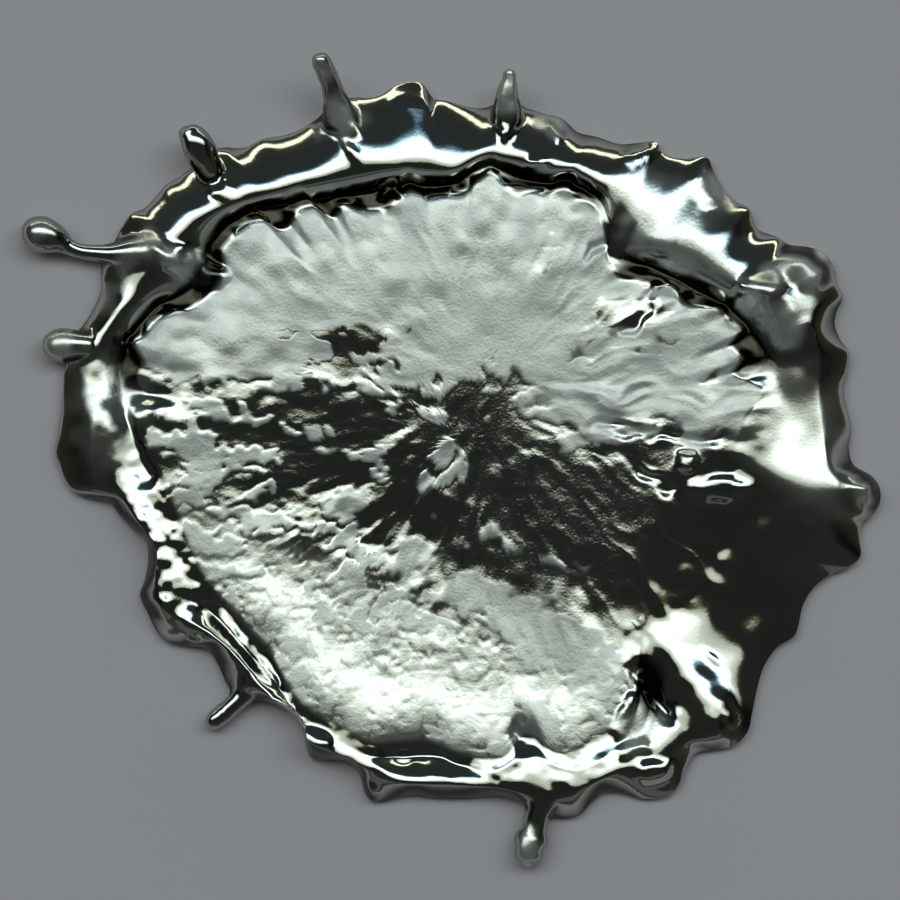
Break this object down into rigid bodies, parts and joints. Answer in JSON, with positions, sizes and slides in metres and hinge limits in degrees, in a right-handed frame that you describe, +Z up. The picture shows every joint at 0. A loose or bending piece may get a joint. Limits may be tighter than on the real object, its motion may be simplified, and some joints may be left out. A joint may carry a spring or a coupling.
{
  "type": "tin metal piece",
  "caption": "Loose splash of molten tin set as a thin round sheet with a wrinkled plate, raised rounded rim, and small fingers and drops, resting on its flat underside.",
  "frame": {"origin": "centre of the bounding box at the flat underside", "axes": "+Z up out of the underside, +X along the longest extent, +Y towards the back rim with the three upright fingers"},
  "size_m": [0.031, 0.0294, 0.0025],
  "materials": {
    "tin": "bright as-cast tin, near-mirror on the rim and channel, frosted by fine crystals on the plate"
  },
  "bodies": {
    "root": {"tin_splash": "tin"}
  },
  "joints": []
}
